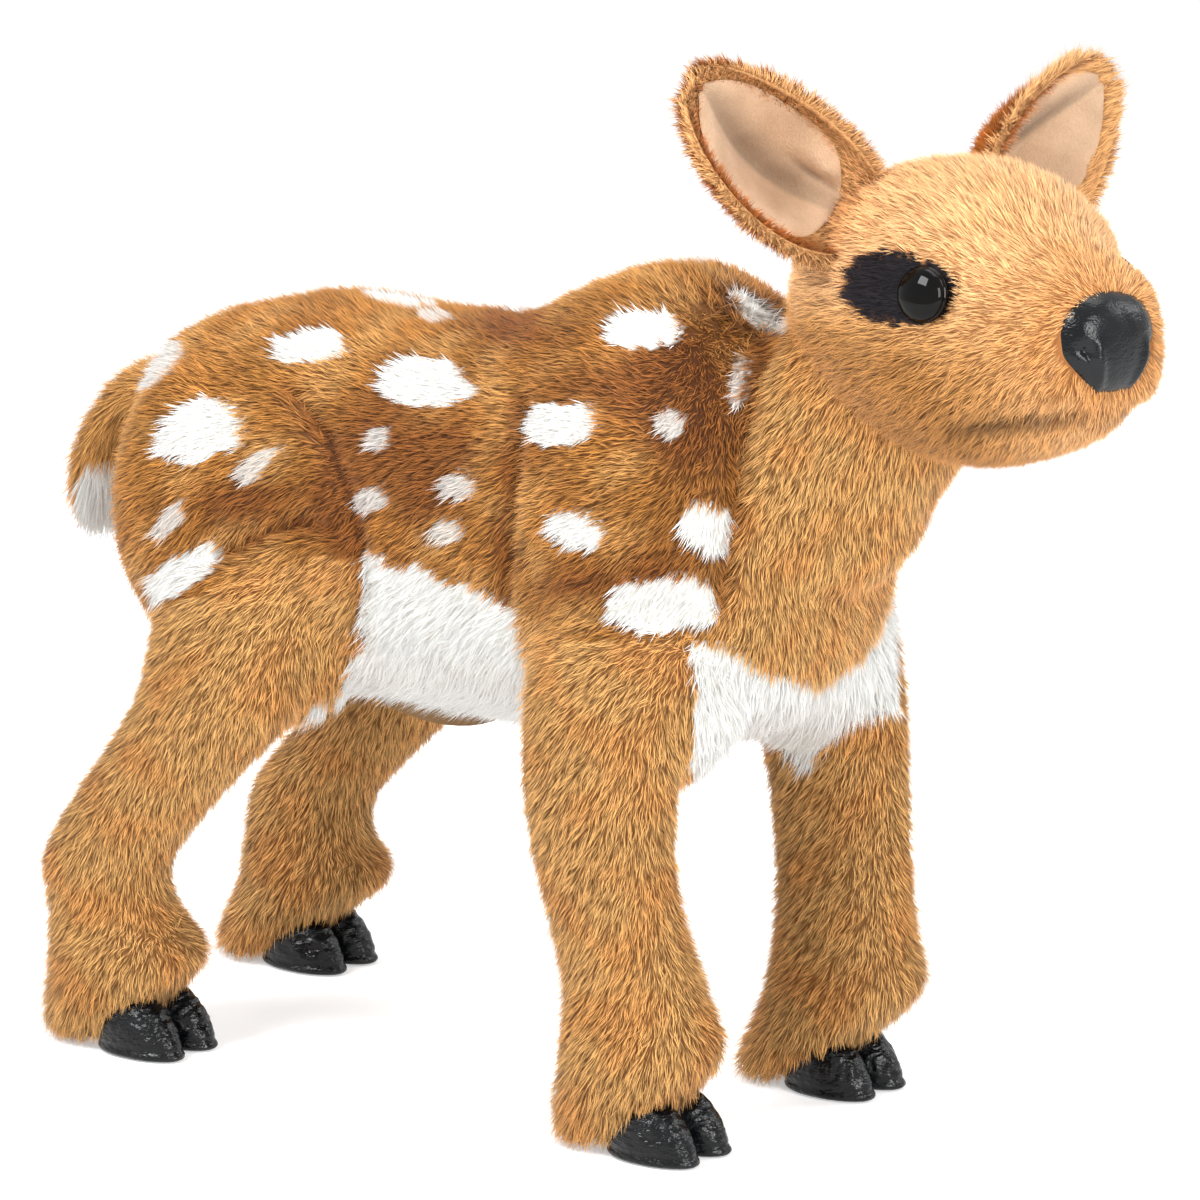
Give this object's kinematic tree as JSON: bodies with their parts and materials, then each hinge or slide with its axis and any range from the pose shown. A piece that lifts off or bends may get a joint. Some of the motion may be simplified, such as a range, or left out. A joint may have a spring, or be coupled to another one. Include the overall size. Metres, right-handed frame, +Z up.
{
  "type": "fawn hand puppet",
  "caption": "Standing spotted fawn hand puppet with a hand passage from the belly to the head, a working mouth, swinging legs, folding ears and a short tail.",
  "frame": {"origin": "on the ground under the middle of the whole puppet's box", "axes": "+X the way the fawn faces, +Y its left side, +Z up"},
  "size_m": [0.4194, 0.1793, 0.3475],
  "materials": {
    "brown_plush": "short combed pile, brown with white spots",
    "white_plush": "white pile",
    "tan_plush": "tan pile",
    "pale_tan_plush": "pale tan pile",
    "velvet": "short velvet",
    "lining_cloth": "smooth woven lining",
    "mouth_cloth": "smooth knitted cloth",
    "stuffing": "polyester fibre fill",
    "black_vinyl": "soft wrinkled vinyl, satin",
    "eye_resin": "polished",
    "washer_plastic": "moulded"
  },
  "bodies": {
    "torso": {"torso_stuffing": "stuffing", "spotted_coat": "brown_plush", "belly_panel": "white_plush", "chest_panel": "white_plush", "breast_panel": "tan_plush", "rump_patch": "white_plush", "hand_sleeve": "lining_cloth", "opening_hem": "lining_cloth"},
    "tail": {"tail_top": "brown_plush", "tail_underside": "white_plush"},
    "neck": {"neck_stuffing": "stuffing", "neck_coat": "tan_plush", "neck_sleeve": "lining_cloth"},
    "head": {"head_stuffing": "stuffing", "head_coat": "pale_tan_plush", "finger_pocket": "lining_cloth", "upper_palate": "mouth_cloth", "nose": "black_vinyl", "eye_right": "eye_resin", "eye_left": "eye_resin", "eye_washer_right": "washer_plastic", "eye_washer_left": "washer_plastic"},
    "jaw": {"jaw_stuffing": "stuffing", "jaw_coat": "pale_tan_plush", "thumb_pocket": "lining_cloth", "lower_palate": "mouth_cloth"},
    "ear_right": {"ear_back_right": "pale_tan_plush", "ear_lining_right": "velvet"},
    "ear_left": {"ear_back_left": "pale_tan_plush", "ear_lining_left": "velvet"},
    "leg_front_right": {"leg_stuffing_front_right": "stuffing", "leg_coat_front_right": "tan_plush", "hoof_front_right": "black_vinyl"},
    "leg_front_left": {"leg_stuffing_front_left": "stuffing", "leg_coat_front_left": "tan_plush", "hoof_front_left": "black_vinyl"},
    "leg_rear_right": {"leg_stuffing_rear_right": "stuffing", "leg_coat_rear_right": "tan_plush", "hoof_rear_right": "black_vinyl"},
    "leg_rear_left": {"leg_stuffing_rear_left": "stuffing", "leg_coat_rear_left": "tan_plush", "hoof_rear_left": "black_vinyl"}
  },
  "joints": [
    {"name": "neck_turn", "type": "hinge", "parent": "torso", "child": "neck", "pos_m": [0.073, -0.013, 0.199], "axis": [0, 0, 1], "range_deg": [-20, 20]},
    {"name": "head_nod", "type": "hinge", "parent": "neck", "child": "head", "pos_m": [0.115, -0.013, 0.246], "axis": [0.2071, 0.9744, -0.0872], "range_deg": [-16, 15]},
    {"name": "jaw_open", "type": "hinge", "parent": "head", "child": "jaw", "pos_m": [0.16213, -0.01855, 0.23512], "axis": [0.2071, 0.9744, -0.0872], "range_deg": [0, 25], "stiffness_Nm_per_rad": 0.03, "springref_deg": -11.46},
    {"name": "ear_left_fold", "type": "hinge", "parent": "head", "child": "ear_left", "pos_m": [0.13357, 0.02409, 0.29412], "axis": [0.2051, 0.4739, -0.8564], "range_deg": [-15, 15], "stiffness_Nm_per_rad": 0.05},
    {"name": "ear_right_fold", "type": "hinge", "parent": "head", "child": "ear_right", "pos_m": [0.12094, -0.03535, 0.29944], "axis": [-0.0347, -0.6542, -0.7555], "range_deg": [-15, 15], "stiffness_Nm_per_rad": 0.05},
    {"name": "tail_wag", "type": "hinge", "parent": "torso", "child": "tail", "pos_m": [-0.167, -0.013, 0.206], "axis": [0, 0, 1], "range_deg": [-20, 20], "stiffness_Nm_per_rad": 0.05},
    {"name": "front_right_swing", "type": "hinge", "parent": "torso", "child": "leg_front_right", "pos_m": [0.047, -0.068, 0.146], "axis": [0, 1, 0], "range_deg": [-15, 15], "stiffness_Nm_per_rad": 0.25},
    {"name": "front_left_swing", "type": "hinge", "parent": "torso", "child": "leg_front_left", "pos_m": [0.047, 0.042, 0.146], "axis": [0, 1, 0], "range_deg": [-15, 15], "stiffness_Nm_per_rad": 0.25},
    {"name": "rear_right_swing", "type": "hinge", "parent": "torso", "child": "leg_rear_right", "pos_m": [-0.099, -0.068, 0.146], "axis": [0, 1, 0], "range_deg": [-15, 15], "stiffness_Nm_per_rad": 0.25},
    {"name": "rear_left_swing", "type": "hinge", "parent": "torso", "child": "leg_rear_left", "pos_m": [-0.099, 0.042, 0.146], "axis": [0, 1, 0], "range_deg": [-15, 15], "stiffness_Nm_per_rad": 0.25}
  ]
}
